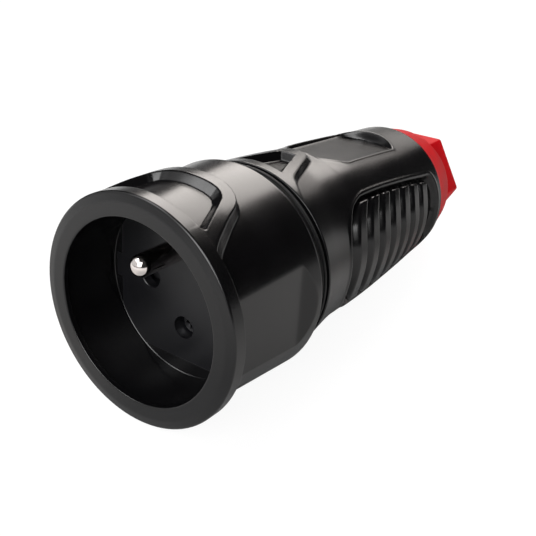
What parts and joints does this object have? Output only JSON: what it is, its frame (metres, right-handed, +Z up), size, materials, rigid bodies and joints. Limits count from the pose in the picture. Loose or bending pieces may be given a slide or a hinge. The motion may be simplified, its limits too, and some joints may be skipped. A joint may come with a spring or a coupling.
{
  "type": "in-line power socket",
  "caption": "In-line socket for a flexible lead: round shell with a plug well, earth pin and shutter, ribbed handle and a screwed cable gland.",
  "frame": {"origin": "centre of the mouth of the plug well, in the plane of the rim's front face", "axes": "+X from the mouth back along the socket's axis to the cable nut; +Z up, on the side of the earth pin; lies on its side"},
  "size_m": [0.1217, 0.05, 0.0505],
  "materials": {
    "shell_plastic": "satin black, fine grained",
    "insert_plastic": "satin black",
    "shutter_plastic": "smooth dark grey",
    "collet_plastic": "natural nylon",
    "nut_plastic": "red, softly glossy",
    "seal_rubber": "matte black",
    "contact_brass": "bright",
    "plated_pin": "nickel plated, polished",
    "screw_steel": "zinc plated",
    "spring_steel": "bright wire"
  },
  "bodies": {
    "socket_body": {"front_shell": "shell_plastic", "socket_insert": "insert_plastic", "terminal_base": "insert_plastic", "live_contact": "contact_brass", "neutral_contact": "contact_brass", "contact_springs": "spring_steel", "earth_pin": "plated_pin", "earth_terminal": "contact_brass", "terminal_screws": "screw_steel", "shutter_spring_left": "spring_steel", "shutter_spring_right": "spring_steel", "fixing_screw": "screw_steel", "threaded_insert": "contact_brass", "body_seal": "seal_rubber", "handle": "shell_plastic", "cable_seal": "seal_rubber", "clamp_collet": "collet_plastic"},
    "shutter_body": {"shutter": "shutter_plastic"},
    "nut_carriage": {"slip_washer": "collet_plastic"},
    "nut_body": {"gland_nut": "nut_plastic"}
  },
  "joints": [
    {"name": "shutter_slide", "type": "slide", "parent": "socket_body", "child": "shutter_body", "axis": [0, 0, 1], "range_m": [0, 0.0055], "stiffness_N_per_m": 100, "springref_m": -0.0015, "deforming": ["shutter_spring_left", "shutter_spring_right"]},
    {"name": "nut_travel", "type": "slide", "parent": "socket_body", "child": "nut_carriage", "axis": [1, 0, 0], "range_m": [0, 0.00701]},
    {"name": "nut_turn", "type": "hinge", "parent": "nut_carriage", "child": "nut_body", "pos_m": [0.112, 0, 0], "axis": [1, 0, 0], "range_deg": [0, 1260]}
  ],
  "couplings": [
    {"joint": "nut_travel", "follows": "nut_turn", "m_per_rad": 0.00031831}
  ]
}
